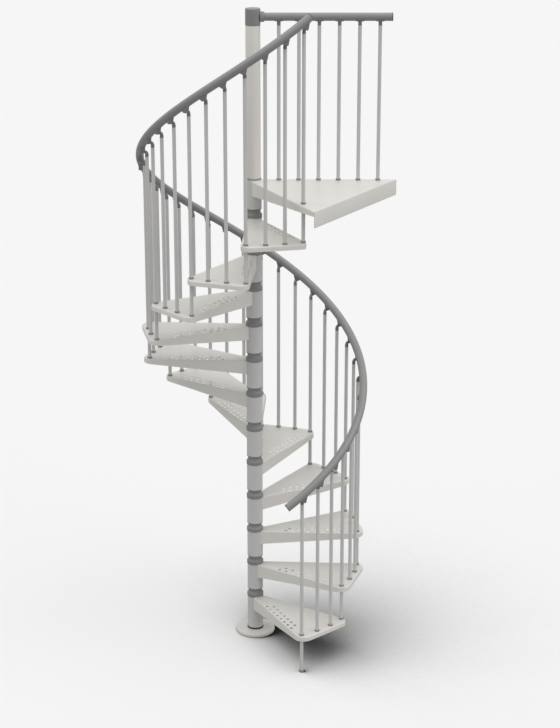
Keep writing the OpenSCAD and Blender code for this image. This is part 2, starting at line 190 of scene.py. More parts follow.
def coated(name, dark, pale, grain, bump, rough):
    """A finish whose tone drifts between two colours, with a fine grain in its relief and its gloss."""
    material = bpy.data.materials.new(name)
    material.use_nodes = True
    tree = material.node_tree
    place = put(tree, "ShaderNodeTexCoord").outputs["Object"]
    drift = put(tree, "ShaderNodeTexNoise", {"Vector": place, "Scale": 3.5, "Detail": 3, "Roughness": 0.55})
    fleck = put(tree, "ShaderNodeTexNoise", {"Vector": place, "Scale": grain, "Detail": 2, "Roughness": 0.6})
    blend = put(tree, "ShaderNodeMix", {0: 0.25, 2: drift.outputs["Fac"], 3: fleck.outputs["Fac"]})
    tone = shades(tree, blend.outputs[0], (0.32, 0.68), (dark, pale))
    gloss = put(tree, "ShaderNodeMapRange", {
        "Value": fleck.outputs["Fac"], "To Min": rough - 0.05, "To Max": rough + 0.06})
    relief = put(tree, "ShaderNodeBump", {"Height": fleck.outputs["Fac"], "Strength": bump, "Distance": 0.0004})
    wire_finish(tree, tone, gloss, relief)
    return material


powder_coat = coated("powder_coat", (0.725, 0.705, 0.664), (0.775, 0.753, 0.712), 650, 0.25, 0.42)
tube_coat = coated("tube_coat", (0.580, 0.578, 0.566), (0.625, 0.622, 0.610), 650, 0.25, 0.40)
ring_grey = coated("ring_grey", (0.215, 0.216, 0.215), (0.270, 0.271, 0.270), 1100, 0.3, 0.46)
clip_grey = coated("clip_grey", (0.165, 0.166, 0.165), (0.210, 0.211, 0.210), 1100, 0.3, 0.48)
# Near-black for the foot seal: partly the seal's own colour, partly painted shade of the gap under the first sleeve.
seal_black = coated("seal_black", (0.030, 0.029, 0.028), (0.045, 0.044, 0.042), 1100, 0.3, 0.55)
ferrule_grey = coated("ferrule_grey", (0.225, 0.224, 0.220), (0.285, 0.284, 0.280), 1100, 0.3, 0.46)
zinc = coated("zinc", (0.40, 0.41, 0.42), (0.55, 0.56, 0.57), 900, 0.2, 0.34)
zinc.node_tree.nodes["Principled BSDF"].inputs["Metallic"].default_value = 1
print("finishes:", [m.name for m in (powder_coat, tube_coat, ring_grey, clip_grey, seal_black, ferrule_grey, zinc)])

# %% [markdown]
# ## Handrail plastic
# The rail is extruded, so its surface carries faint lines that run along it and never across.
# Noise that is stretched along the rail needs to know how far along and where around it a point is.
# The rail's own mesh stores both as attributes, which follow the helix as Object coordinates can't.
# The second one also paints a highlight: the crown is made a shade paler than the sides and underside, as light from
# above would make it.

# %% Handrail plastic
rail_grey = bpy.data.materials.new("rail_grey")
rail_grey.use_nodes = True
tree = rail_grey.node_tree
along = put(tree, "ShaderNodeAttribute", attribute_name="along").outputs["Fac"]
around = put(tree, "ShaderNodeAttribute", attribute_name="section").outputs["Vector"]
split = put(tree, "ShaderNodeSeparateXYZ", {0: around})
slow = reckon(tree, "MULTIPLY", along, 0.004)
drawn = put(tree, "ShaderNodeCombineXYZ", {0: split.outputs["X"], 1: split.outputs["Y"], 2: slow})
lines = put(tree, "ShaderNodeTexNoise", {"Vector": drawn.outputs[0], "Scale": 420, "Detail": 3, "Roughness": 0.6})
place = put(tree, "ShaderNodeTexCoord").outputs["Object"]
grain = put(tree, "ShaderNodeTexNoise", {"Vector": place, "Scale": 1200, "Detail": 2})
blend = put(tree, "ShaderNodeMix", {0: 0.3, 2: lines.outputs["Fac"], 3: grain.outputs["Fac"]})
# Painted highlight and shade: the tone is raised towards the rail's crown and lowered over the rest of its section.
painted_crown_highlight = put(tree, "ShaderNodeMapRange", {"Value": split.outputs["Y"], "From Min": -0.002, "From Max": -0.019,
                                         "To Min": -0.2, "To Max": 0.2})
lit = reckon(tree, "ADD", blend.outputs[0], painted_crown_highlight.outputs["Result"])
tone = shades(tree, lit, (0.1, 0.9), [(grey, grey * 1.01, grey) for grey in (0.215, 0.315)])
relief = put(tree, "ShaderNodeBump", {"Height": blend.outputs[0], "Strength": 0.25, "Distance": 0.0003})
gloss = put(tree, "ShaderNodeMapRange", {"Value": grain.outputs["Fac"], "To Min": 0.30, "To Max": 0.40})
wire_finish(tree, tone, gloss, relief)
print("rail finish with", len(tree.nodes), "nodes")

# %% [markdown]
# ## From shapes to pieces
# A piece is a mesh object at the origin, with its place in its vertices.
# What the modifiers make of it is turned into a plain mesh, and only then is it tied to the stair's body.

# %% Piece helpers
def new_object(name, mesh):
    obj = bpy.data.objects.new(name, mesh)
    scene.collection.objects.link(obj)
    return obj


def plain(obj):
    """Makes the result of an object's modifiers its own mesh."""
    graph = bpy.context.evaluated_depsgraph_get()
    made = bpy.data.meshes.new_from_object(obj.evaluated_get(graph), preserve_all_data_layers=True, depsgraph=graph)
    obj.modifiers.clear()
    obj.data = made
    made.name = obj.name
    return obj


def crease(mesh, angle=35):
    """Smooth shading, broken at edges that are sharper than an angle."""
    mesh.shade_smooth()
    mesh.set_sharp_from_angle(angle=radians(angle))


def settle(obj, slot, *nodes):
    """Ties a finished piece to the stair and hides the imported parts that it stands for."""
    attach(obj, "root")
    if nodes:
        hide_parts(*nodes)
    print(obj.name, len(obj.data.polygons), "faces")


# %% [markdown]
# ## Turned pieces
# Flange, seals, post, cap, spacers and ferrules are all bodies of revolution.
# A modifier such as Screw could turn them, but a profile whose corners are softened first gives cleaner edges.

# %% Turning
def soften(points, reach, steps=4, closed=True):
    """Rounds the corners of a polyline; each bend starts at most a given length before its corner."""
    out = []
    count = len(points)
    for i, point in enumerate(points):
        if not closed and i in (0, count - 1):
            out.append(tuple(point))
            continue
        here, before, after = Vector(point), Vector(points[i - 1]), Vector(points[(i + 1) % count])
        start = here + (before - here).normalized() * min(reach, 0.45 * (before - here).length)
        end = here + (after - here).normalized() * min(reach, 0.45 * (after - here).length)
        for k in range(steps + 1):
            t = k / steps
            out.append(tuple(start * (1 - t) ** 2 + here * 2 * t * (1 - t) + end * t * t))
    return out


def full_turn(sides):
    return [2 * pi * s / sides for s in range(sides)]


def turn(bm, profile, closed=True, sides=72, place=Matrix.Identity(4)):
    """Turns a profile of (radius, height) points about Z; an open profile starts and ends on the axis."""
    rings = []
    for r, z in profile:
        if r < 1e-7:
            rings.append([bm.verts.new(place @ Vector((0, 0, z)))])
        else:
            rings.append([bm.verts.new(place @ Vector((r * cos(a), r * sin(a), z))) for a in full_turn(sides)])
    made = []
    for low, high in zip(rings, rings[1:] + (rings[:1] if closed else [])):
        for i in range(sides):
            corners = [low[i % len(low)], low[(i + 1) % len(low)], high[(i + 1) % len(high)], high[i % len(high)]]
            made.append(bm.faces.new(list(dict.fromkeys(corners))))
    bmesh.ops.recalc_face_normals(bm, faces=made)
    return made


def mesh_from(bm, name, finish, angle=35):
    mesh = bpy.data.meshes.new(name)
    bm.to_mesh(mesh)
    bm.free()
    mesh.materials.append(finish)
    crease(mesh, angle)
    return mesh


def turned_mesh(name, profile, finish, closed=True, sides=72, places=(Matrix.Identity(4),)):
    """A mesh with one turned body at each place."""
    bm = bmesh.new()
    for place in places:
        turn(bm, profile, closed, sides, place)
    return mesh_from(bm, name, finish)


def turned(name, profile, finish, **how):
    return new_object(name, turned_mesh(name, profile, finish, **how))


# %% [markdown]
# ## Foot of the column
# A round flange stands on the floor, and a thin near-black ring seals the first sleeve on it; its lip laps well up the
# sleeve's foot, partly a real seal and partly painted shade of the gap under the sleeve.
# Their soft edges catch the light as a pressed cover and a moulded ring do.

# %% Foot flange and seal
SLEEVE_R = 0.043
POLE_R = 0.030
BASE_T = 0.020
SEAL_T = 0.004
FLANGE_R = 0.109
CLEAR = 0.0003
profile = [(0, 0), (FLANGE_R, 0), (FLANGE_R, BASE_T), (0, BASE_T)]
flange = turned("foot_flange", soften(profile, 0.007, 6, closed=False), powder_coat, closed=False, sides=96)
settle(flange, "paint", "base_flange")


def seal_ring(name, foot, tube_r, lap, finish, node):
    """A ring under a tube, whose lip laps up over the tube's foot."""
    lip, shut, hole = tube_r + 0.002, tube_r + CLEAR, POLE_R + CLEAR
    top = foot + SEAL_T
    profile = [(hole, foot), (lip, foot), (lip, top + lap), (shut, top + lap), (shut, top), (hole, top)]
    settle(turned(name, soften(profile, 0.0006), finish), "dark_plastic", node)


# The deep lap of this near-black ring is partly painted shade: it stands in for the shadowed gap under the first
# sleeve.
seal_ring("foot_seal", BASE_T, SLEEVE_R, 0.006, seal_black, "base_seal")

# %% [markdown]
# ## Setting out repeated pieces
# Spacers, ferrules, screws and rail brackets repeat around the stair.
# A Geometry Nodes tree puts one finished piece on each marked point, turned by the angle that the point carries.
# Realize Instances makes plain geometry of them, because the export keeps no instances.

# %% Running a tree
def geometry_tree(name, inputs, result):
    """A Geometry Nodes tree with named inputs and one result; the sockets of its inputs come with it."""
    tree = bpy.data.node_groups.new(name, "GeometryNodeTree")
    for label, kind in inputs.items():
        tree.interface.new_socket(label, in_out="INPUT", socket_type="NodeSocket" + kind)
    tree.interface.new_socket(result, in_out="OUTPUT", socket_type="NodeSocketGeometry")
    return tree, put(tree, "NodeGroupInput").outputs


def shaped(obj, tree, values):
    """Runs a tree on an object and keeps the result; a modifier knows an input by its socket's identifier."""
    step = obj.modifiers.new(tree.name, "NODES")
    step.node_group = tree
    known_by = {s.name: s.identifier for s in tree.interface.items_tree if s.in_out == "INPUT"}
    for label, value in values.items():
        step[known_by[label]] = value
    return plain(obj)


# %% Tree that sets pieces out
setting_out, given = geometry_tree("setting_out", {
    "Marks": "Geometry", "Piece": "Object", "Finish": "Material"}, "Pieces")
piece = put(setting_out, "GeometryNodeObjectInfo", {"Object": given["Piece"]})
angle = put(setting_out, "GeometryNodeInputNamedAttribute", {"Name": "turn"}, data_type="FLOAT")
upright = put(setting_out, "ShaderNodeCombineXYZ", {"Z": angle.outputs["Attribute"]})
facing = put(setting_out, "FunctionNodeEulerToRotation", {0: upright.outputs[0]})
placed = put(setting_out, "GeometryNodeInstanceOnPoints", {
    "Points": given["Marks"], "Instance": piece.outputs["Geometry"], "Rotation": facing.outputs[0]})
real = put(setting_out, "GeometryNodeRealizeInstances", {"Geometry": placed.outputs[0]})
dressed = put(setting_out, "GeometryNodeSetMaterial", {"Geometry": real.outputs[0], "Material": given["Finish"]})
put(setting_out, "NodeGroupOutput", {0: dressed.outputs[0]})


def set_out(name, piece_mesh, marks, finish):
    """Puts a copy of a mesh on each mark, which is a point and an angle in degrees."""
    pattern = new_object(name + "_pattern", piece_mesh)
    mesh = bpy.data.meshes.new(name)
    mesh.from_pydata([point for point, _ in marks], [], [])
    turns = mesh.attributes.new("turn", "FLOAT", "POINT")
    turns.data.foreach_set("value", [radians(a) for _, a in marks])
    obj = shaped(new_object(name, mesh), setting_out, {"Piece": pattern, "Finish": finish})
    bpy.data.objects.remove(pattern)
    return obj


print("setting out:", len(setting_out.nodes), "nodes")

# %% [markdown]
# ## Spacers on the column
# A moulded spool sits on each sleeve and carries the next: a wide lower lip, a narrower waist and a thin upper lip.
# The lower lip laps over the end of the sleeve below.
# One profile is turned and set out twelve times.

# %% Column spacers
STEPS = 12
RISE = 0.200
FIRST_RISE = 0.220
SLEEVE_OVER = 0.006
RING_H = 0.044
RING_LAP = 0.008


def step_top(k):
    """Height of step k; the landing is the step after the last one."""
    return FIRST_RISE + (k - 1) * RISE


lip = SLEEVE_R + 0.0025
waist = SLEEVE_R - 0.006
upper_lip = lip - 0.002
hole = POLE_R + CLEAR
shut = SLEEVE_R + CLEAR
profile = [(hole, 0), (shut, 0), (shut, -RING_LAP), (lip, -RING_LAP), (lip, 0.012), (waist, 0.020), (waist, 0.035),
           (upper_lip, RING_H - 0.004), (upper_lip, RING_H), (hole, RING_H)]
spool = turned_mesh("spool", soften(profile, 0.0022, 3), ring_grey)
marks = [((0, 0, step_top(k) + SLEEVE_OVER), 0) for k in range(1, STEPS + 1)]
spools = set_out("column_spacers", spool, marks, ring_grey)
settle(spools, "ring_plastic", "spacer_rings")

# %% [markdown]
# ## A step's outline
# Seen from above, a step is a wedge with two rounded outer corners, wider in front than the line of its corner bar.
# Every line of the folded sheet runs along this outline, moved in by some distance, so one function gives them all.

# %% Outline of a step
HALF_TURN = radians(15)
BAR_CIRCLE = 0.570
STEP_OUT = BAR_CIRCLE + 0.021
FRONT_MARGIN = 0.027
REAR_MARGIN = 0.016
FRONT_CORNER_R = 0.054
REAR_CORNER_R = 0.040
SEAT_R = SLEEVE_R - 0.002


def edge_point(along, side, margin):
    """A point of the front (side -1) or rear (side 1) edge, with local X along the step's middle."""
    c, s = cos(HALF_TURN), sin(HALF_TURN)
    return Vector((along * c - margin * s, side * (along * s + margin * c)))


def step_outline(inset):
    """Points from the sleeve, round the step and back to the sleeve."""
    points = []
    for side, margin, r, steps in ((-1, FRONT_MARGIN, FRONT_CORNER_R, 22), (1, REAR_MARGIN, REAR_CORNER_R, 18)):
        centre = edge_point((STEP_OUT - r + (margin - r) * sin(HALF_TURN)) / cos(HALF_TURN), side, margin - r)
        sweep = [side * (90 + degrees(HALF_TURN)) * i / steps for i in range(steps + 1)]
        corner = [centre + (r - inset) * Vector((cos(radians(a)), sin(radians(a)))) for a in sweep]
        root = edge_point(sqrt(SEAT_R ** 2 - (margin - inset) ** 2), side, margin - inset)
        points += [root] + corner[::-1] if side < 0 else corner + [root]
    return points


print("step outline of", len(step_outline(0)), "points,", round(max(p.length for p in step_outline(0)), 3), "m out")

# %% [markdown]
# ## Perforated top
# Two staggered rows of round holes give the step its grip along one edge.
# A tree fills the outline with the holes left open, above and below, and lines each hole with a pressed, bevelled rim.
# Boolean cuts would do it too, but leave ragged faces around every hole.

# %% Rows of holes
perforated, given = geometry_tree("perforated_top", {
    "Outline": "Geometry", "First hole": "Vector", "Pitch": "Vector", "Second row": "Vector", "Holes": "Int",
    "Hole radius": "Float", "Rim": "Float", "Sheet": "Float", "Finish": "Material"}, "Plate")


def joined(*parts):
    """The geometry of several nodes as one."""
    one = put(perforated, "GeometryNodeJoinGeometry")
    for part in parts:
        perforated.links.new(part.outputs[0], one.inputs[0])
    return one


def hole_row(count, start):
    return put(perforated, "GeometryNodeMeshLine", {
        "Count": count, "Start Location": start, "Offset": given["Pitch"]})


outline = put(perforated, "GeometryNodeMeshToCurve", {0: given["Outline"]})
fewer = reckon(perforated, "SUBTRACT", given["Holes"], 1)
stagger = put(perforated, "ShaderNodeVectorMath", {0: given["First hole"], 1: given["Second row"]})
rows = joined(hole_row(given["Holes"], given["First hole"]), hole_row(fewer, stagger.outputs[0]))
print("rows of holes:", len(perforated.nodes), "nodes")

# %% Plates around the holes
HOLE_SIDES = 28


def at_holes(part):
    return put(perforated, "GeometryNodeInstanceOnPoints", {"Points": rows.outputs[0], "Instance": part.outputs[0]})


def filled(radius):
    """The outline filled around holes of one radius."""
    ring = put(perforated, "GeometryNodeCurvePrimitiveCircle", {"Resolution": HOLE_SIDES, "Radius": radius})
    rings = put(perforated, "GeometryNodeRealizeInstances", {0: at_holes(ring).outputs[0]})
    return put(perforated, "GeometryNodeFillCurve", {0: joined(rings, outline).outputs[0]}, mode="TRIANGLES")


def moved_up(part, height):
    offset = put(perforated, "ShaderNodeCombineXYZ", {"Z": height})
    return put(perforated, "GeometryNodeTransform", {
        "Geometry": part.outputs[0], "Translation": offset.outputs[0]})


def flipped(part):
    return put(perforated, "GeometryNodeFlipFaces", {0: part.outputs[0]})


wide = reckon(perforated, "ADD", given["Hole radius"], given["Rim"])
top = filled(wide)
sheet_low = reckon(perforated, "MULTIPLY", given["Sheet"], -1)
under = flipped(moved_up(filled(given["Hole radius"]), sheet_low))
print("rows and plates:", len(perforated.nodes), "nodes")

# %% Lining of the holes
bevel = put(perforated, "GeometryNodeMeshCone", {
    "Vertices": HOLE_SIDES, "Radius Top": wide, "Radius Bottom": given["Hole radius"], "Depth": given["Rim"]},
    fill_type="NONE")
deep = reckon(perforated, "SUBTRACT", given["Sheet"], given["Rim"])
bore = put(perforated, "GeometryNodeMeshCylinder", {
    "Vertices": HOLE_SIDES, "Radius": given["Hole radius"], "Depth": deep}, fill_type="NONE")
rim_low = reckon(perforated, "MULTIPLY", given["Rim"], -1)
bore_low = reckon(perforated, "MULTIPLY", reckon(perforated, "ADD", given["Sheet"], given["Rim"]), -0.5)
lined = at_holes(flipped(joined(moved_up(bevel, rim_low), moved_up(bore, bore_low))))
plate = put(perforated, "GeometryNodeRealizeInstances", {0: joined(lined, under, top).outputs[0]})
plate = put(perforated, "GeometryNodeMergeByDistance", {"Geometry": plate.outputs[0], "Distance": 0.00001})
plate = put(perforated, "GeometryNodeSetMaterial", {"Geometry": plate.outputs[0], "Material": given["Finish"]})
put(perforated, "NodeGroupOutput", {0: plate.outputs[0]})
print("perforated top:", len(perforated.nodes), "nodes")

# %% [markdown]
# ## Folding the sheet
# The step is one sheet, folded down all round with a visible bend, and its rim gets shallower towards the outer end.
# The rim is laid as strips between moved-in outlines: round the bend, down the outside, under the edge and up again.
# The strips end inside the sleeve's wall, where the real sheet is welded.

# %% Folded tray
SHEET = 0.003
FOLD_R = 0.006
RIM_INNER = 0.078
RIM_OUTER = 0.026
EDGE_R = 0.001
EDGE_CUT = 0.0003


def folded_tray(outline, rim_depth, holes):
    """A bmesh of the folded sheet; rim_depth gives the rim's depth at a point of the outline."""
    bend = [radians(90) * i / 6 for i in range(7)]
    stations = [(FOLD_R * (1 - sin(a)), -FOLD_R * (1 - cos(a)), False) for a in bend]
    stations += [(0, EDGE_R, True), (EDGE_CUT, EDGE_CUT, True), (EDGE_R, 0, True)]
    stations += [(SHEET - EDGE_R, 0, True), (SHEET - EDGE_CUT, EDGE_CUT, True), (SHEET, EDGE_R, True)]
    inner = FOLD_R - SHEET
    stations += [(FOLD_R - inner * sin(a), inner * cos(a) - FOLD_R, False) for a in bend[::-1]]
    depths = [rim_depth(p) for p in outline(0)]
    bm = bmesh.new()
    lines = []
    for inset, z, from_edge in stations:
        points = zip(outline(inset), depths)
        lines.append([bm.verts.new((p.x, p.y, z - depth if from_edge else z)) for p, depth in points])
    for a, b in zip(lines, lines[1:]):
        for i in range(len(a) - 1):
            bm.faces.new((a[i], b[i], b[i + 1], a[i + 1]))
    bm.faces.new([line[0] for line in lines])
    bm.faces.new([line[-1] for line in lines][::-1])

    edge = outline(FOLD_R)
    first, last = edge[0], edge[-1]
    turn_from, turn_to = Vector((1, 0)).angle_signed(last), Vector((1, 0)).angle_signed(first)
    seat = [-turn_from + (turn_from - turn_to) * i / 9 for i in range(1, 9)]
    seat = [SEAT_R * Vector((cos(a), sin(a))) for a in seat]
    loop = edge + seat
    ring = [[bm.verts.new((p.x, p.y, z)) for p in [last] + seat + [first]] for z in (0, -SHEET)]
    for i in range(len(ring[0]) - 1):
        bm.faces.new((ring[0][i], ring[0][i + 1], ring[1][i + 1], ring[1][i]))

    mesh = bpy.data.meshes.new("plate_outline")
    count = len(loop)
    mesh.from_pydata([(p.x, p.y, 0) for p in loop], [(i, (i + 1) % count) for i in range(count)], [])
    sizes = {**holes, "Sheet": SHEET, "Finish": powder_coat}
    plate = shaped(new_object("plate_outline", mesh), perforated, sizes)
    bm.from_mesh(plate.data)
    bpy.data.objects.remove(plate)
    bmesh.ops.remove_doubles(bm, verts=bm.verts, dist=0.00002)
    bmesh.ops.recalc_face_normals(bm, faces=bm.faces)
    return bm


def rim_at(share):
    """Depth of the rim, by the share of the way from the outer end to the sleeve."""
    return RIM_OUTER + (RIM_INNER - RIM_OUTER) * min(1, max(0, share))


print("rim", RIM_OUTER, "to", RIM_INNER, "m deep")

# %% Folded steps
HOLES = 8
HOLE_R = 0.0085
HOLE_RIM = 0.0008
PITCH = 0.0423
ROW_START = 0.171
FIRST_ROW_IN = 0.017
SECOND_ROW_IN = 0.049


def step_rim(p):
    return rim_at((STEP_OUT - p.x) / (STEP_OUT - SLEEVE_R))


def grip_rows(side, margin):
    """The rows of holes along the front (side -1) or rear (side 1) edge."""
    first = edge_point(ROW_START, side, margin - FIRST_ROW_IN)
    next_row = edge_point(ROW_START + PITCH / 2, side, margin - SECOND_ROW_IN) - first
    return {"First hole": (*first, 0), "Pitch": (*edge_point(PITCH, side, 0), 0), "Second row": (*next_row, 0),
            "Holes": HOLES, "Hole radius": HOLE_R, "Rim": HOLE_RIM}


front_rows = folded_tray(step_outline, step_rim, grip_rows(-1, FRONT_MARGIN))
rear_rows = folded_tray(step_outline, step_rim, grip_rows(1, REAR_MARGIN))
for tray in (front_rows, rear_rows):
    print("a folded step:", len(tray.faces), "faces,", sum(e.is_boundary for e in tray.edges), "open edges")

# %% [markdown]
# ## Sleeves and steps
# Each step is welded to a length of tube that is threaded on the column, and the first tube reaches down to the flange.
# A small bead of weld shows where the sheet meets the tube.
# A folded step is copied, turned and lifted twelve times, so that each stays a piece of its own.
# The lower steps have their grip holes along the front edge and the upper ones along the rear edge, where they show.

# %% Steps with their sleeves
START = -63
TURN = 30
SLEEVE_WALL = 0.004
FRONT_ROWS_UP_TO = 5
STEP_BEAD = (-44, 26)


def sleeve_profile(k):
    foot = BASE_T + SEAL_T if k == 1 else step_top(k - 1) + SLEEVE_OVER + RING_H
    low, high = foot - step_top(k), SLEEVE_OVER
    inner = SLEEVE_R - SLEEVE_WALL
    return soften([(inner, low), (SLEEVE_R, low), (SLEEVE_R, high), (inner, high)], 0.0012, 3)


def tube_faces(bm, rings):
    """Faces between rings of points, with both ends shut."""
    sides = len(rings[0])
    made = []
    for a, b in zip(rings, rings[1:]):
        made += [bm.faces.new((a[s], a[(s + 1) % sides], b[(s + 1) % sides], b[s])) for s in range(sides)]
    made += [bm.faces.new(rings[0]), bm.faces.new(rings[-1])]
    bmesh.ops.recalc_face_normals(bm, faces=made)


def weld(bm, from_angle, to_angle, bead=0.0028, count=40, sides=8):
    """A rippled bead around the sleeve, on the sheet."""
    rings = []
    for i in range(count + 1):
        a = radians(from_angle + (to_angle - from_angle) * i / count)
        r = bead * (1 + 0.10 * sin(2.4 * i))
        out = Vector((cos(a), sin(a), 0))
        ring = [out * (SLEEVE_R + r * cos(b)) + Vector((0, 0, r * sin(b))) for b in full_turn(sides)]
        rings.append([bm.verts.new(p) for p in ring])
    tube_faces(bm, rings)


def at_step(k, direction):
    """Turns what is modelled along X to a direction, and lifts it to step k's top."""
    return Matrix.Translation((0, 0, step_top(k))) @ Matrix.Rotation(radians(direction), 4, "Z")


def finish_tray(name, bm, k, direction, bead, node):
    """Adds sleeve and weld, and puts the tray in its place."""
    for face in bm.faces:
        face.material_index = 0
    for face in turn(bm, sleeve_profile(k)):
        face.material_index = 1
    weld(bm, *bead)
    bm.transform(at_step(k, direction))
    obj = new_object(name, mesh_from(bm, name, powder_coat, 40))
    obj.data.materials.append(tube_coat)
    even = obj.modifiers.new("even_normals", "WEIGHTED_NORMAL")
    even.keep_sharp = True
    settle(plain(obj), "paint", node)


for k in range(1, STEPS + 1):
    copy = front_rows.copy() if k <= FRONT_ROWS_UP_TO else rear_rows.copy()
    finish_tray(f"step_{k:02d}", copy, k, START + (k - 0.5) * TURN, STEP_BEAD, f"tread_{k:02d}")
front_rows.free()
rear_rows.free()

# %% [markdown]
# ## Landing
# The landing is folded from the same sheet, with straight edges, and a deep flat plate closes its outer edge.
# The same function folds it, along an outline with small corners.

# %% Landing tray
LAST = START + STEPS * TURN
LANDING_TURN = radians(63)
BACK_MARGIN = 0.020
PLATE_T = 0.005
FRONT_REACH = 0.742
BACK_REACH = 0.754
LANDING_BEAD = (-38, 88)
front_end = Vector((FRONT_REACH, -FRONT_MARGIN))
back_along = Vector((cos(LANDING_TURN), sin(LANDING_TURN)))
back_side = Vector((-sin(LANDING_TURN), cos(LANDING_TURN)))
back_end = BACK_REACH * back_along + BACK_MARGIN * back_side
outer_line = (back_end - front_end).normalized()
outward = Vector((outer_line.y, -outer_line.x))
landing_out = front_end.dot(outward) - PLATE_T


def landing_corner(along, across, margin, out):
    """Where an edge, moved out from the line along it by a margin, meets the outer edge."""
    reach = (out - margin * across.dot(outward)) / along.dot(outward)
    return reach * along + margin * across


def bent(before, corner, after, r, steps=6):
    """An arc of radius r in place of a corner."""
    a, b = (before - corner).normalized(), (after - corner).normalized()
    half = a.angle(b) / 2
    middle = corner + (a + b).normalized() * r / sin(half)
    start, end = corner + a * r / tan(half) - middle, corner + b * r / tan(half) - middle
    arc = start.angle_signed(end)
    return [middle + Matrix.Rotation(-arc * i / steps, 2) @ start for i in range(steps + 1)]


def landing_outline(inset):
    """Points from the sleeve, round the landing and back to the sleeve."""
    along = Vector((1, 0))
    out = landing_out - inset
    front, back = FRONT_MARGIN - inset, BACK_MARGIN - inset
    root = Vector((sqrt(SEAT_R ** 2 - front ** 2), -front))
    end = back_along * sqrt(SEAT_R ** 2 - back ** 2) + back_side * back
    a = landing_corner(along, Vector((0, -1)), front, out)
    b = landing_corner(back_along, back_side, back, out)
    r = FOLD_R + EDGE_R - inset
    return [root] + bent(root, a, b, r) + bent(a, b, end, r) + [end]


def landing_rim(p):
    return rim_at((landing_out - p.dot(outward)) / (landing_out - SLEEVE_R))


landing = folded_tray(landing_outline, landing_rim, {"Holes": 0, "Hole radius": HOLE_R, "Rim": HOLE_RIM})
print("landing:", len(landing.faces), "faces,", sum(e.is_boundary for e in landing.edges), "open edges")
finish_tray("landing_tray", landing, STEPS + 1, LAST, LANDING_BEAD, "landing_plate")

# %% [markdown]
# ## Landing's edge plate
# A flat bar stands on edge against the landing and is what the upper floor is fixed to.
# A box with bevelled edges is all that it is on the real stair as well.

# %% Edge plate
PLATE_H = 0.083
a = landing_corner(Vector((1, 0)), Vector((0, -1)), FRONT_MARGIN, landing_out)
b = landing_corner(back_along, back_side, BACK_MARGIN, landing_out)
bm = bmesh.new()
ends = [(p, q) for p in (a, b) for q in (0, PLATE_T)]
verts = [bm.verts.new((*(p + outward * q), z)) for z in (-PLATE_H, 0) for p, q in ends]
for face in ((0, 1, 3, 2), (4, 6, 7, 5), (0, 4, 5, 1), (2, 3, 7, 6), (0, 2, 6, 4), (1, 5, 7, 3)):
    bm.faces.new([verts[i] for i in face])
bmesh.ops.recalc_face_normals(bm, faces=bm.faces)
bm.transform(at_step(STEPS + 1, LAST))
edge_plate = new_object("landing_edge_plate", mesh_from(bm, "landing_edge_plate", powder_coat))
soft_edge = edge_plate.modifiers.new("soft_edge", "BEVEL")
soft_edge.width = 0.0012
soft_edge.segments = 3
settle(plain(edge_plate), "paint", "landing_fascia")
crease(edge_plate.data, 50)

# %% [markdown]
# ## Post and cap
# Above the landing the column goes on as a plain painted tube, on a thin seal, and ends in a moulded cap.

# %% Post
POST_R = 0.0385
POST_WALL = 0.003
RAIL_HEIGHT = 0.855
RAIL_R = 0.021
landing_top = step_top(STEPS + 1)
post_foot = landing_top + SLEEVE_OVER + SEAL_T
rail_z = landing_top + RAIL_HEIGHT
CAP_H = 0.086
cap_foot = rail_z - CAP_H / 2
seal_ring("post_seal_ring", landing_top + SLEEVE_OVER, POST_R, 0.002, clip_grey, "post_seal")
inside = POST_R - POST_WALL
profile = [(inside, post_foot), (POST_R, post_foot), (POST_R, cap_foot), (inside, cap_foot)]
settle(turned("upper_post", soften(profile, 0.0008, 2), powder_coat, sides=96), "paint", "top_post")
CAP_R = POST_R + 0.001
profile = [(0, cap_foot), (CAP_R, cap_foot), (CAP_R, cap_foot + CAP_H), (0, cap_foot + CAP_H)]
post_cap = turned("post_end_cap", soften(profile, 0.004, 5, closed=False), ring_grey, closed=False, sides=96)
settle(post_cap, "dark_plastic", "post_cap")

# %% [markdown]
# ## Round bars and rails
# Balusters, landing rail and handrail are all round stock along a line, straight or helical.
# One tree sweeps a circle along the edges of a mesh, and stores how far along and where around each point is.

# %% Tree for round stock
round_stock, given = geometry_tree("round_stock", {
    "Path": "Geometry", "Radius": "Float", "Sides": "Int", "Finish": "Material"}, "Stock")
path = put(round_stock, "GeometryNodeMeshToCurve", {0: given["Path"]})
level = put(round_stock, "GeometryNodeSetCurveNormal", {0: path.outputs[0]}, mode="Z_UP")
length = put(round_stock, "GeometryNodeSplineParameter")
path = put(round_stock, "GeometryNodeStoreNamedAttribute", {
    "Geometry": level.outputs[0], "Name": "along", "Value": length.outputs["Length"]},
    data_type="FLOAT", domain="POINT")
section = put(round_stock, "GeometryNodeCurvePrimitiveCircle", {
    "Resolution": given["Sides"], "Radius": given["Radius"]})
spot = put(round_stock, "GeometryNodeInputPosition")
section = put(round_stock, "GeometryNodeStoreNamedAttribute", {
    "Geometry": section.outputs[0], "Name": "section", "Value": spot.outputs[0]},
    data_type="FLOAT_VECTOR", domain="POINT")
swept = put(round_stock, "GeometryNodeCurveToMesh", {
    "Curve": path.outputs[0], "Profile Curve": section.outputs[0], "Fill Caps": True})
smooth = put(round_stock, "GeometryNodeSetShadeSmooth", {"Geometry": swept.outputs[0], "Shade Smooth": True})
real = put(round_stock, "GeometryNodeRealizeInstances", {0: smooth.outputs[0]})
dressed = put(round_stock, "GeometryNodeSetMaterial", {"Geometry": real.outputs[0], "Material": given["Finish"]})
put(round_stock, "NodeGroupOutput", {0: dressed.outputs[0]})


